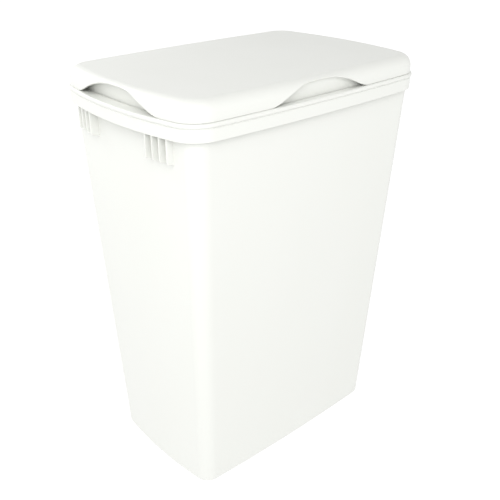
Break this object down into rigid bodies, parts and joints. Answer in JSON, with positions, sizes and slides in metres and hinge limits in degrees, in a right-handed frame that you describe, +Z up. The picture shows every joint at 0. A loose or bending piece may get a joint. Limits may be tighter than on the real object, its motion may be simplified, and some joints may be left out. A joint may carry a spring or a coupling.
{
  "type": "waste container",
  "caption": "Tall tapered rectangular waste container for a pull-out frame, with bowed ends and sides, an overhanging ribbed rim and a lift-off lid with arched finger openings.",
  "frame": {"origin": "on the floor, under the middle of the container", "axes": "+Z up; the short ends face -Y and +Y, and the long sides face -X and +X"},
  "size_m": [0.246, 0.3644, 0.4861],
  "materials": {
    "container": "satin white polypropylene, injection moulded",
    "lid": "satin white polypropylene, injection moulded"
  },
  "bodies": {
    "container": {"container": "container"},
    "lid": {"lid": "lid"}
  },
  "joints": [
    {"name": "lid_lift", "type": "slide", "parent": "container", "child": "lid", "axis": [0, 0, 1], "range_m": [0, 0.12]}
  ]
}
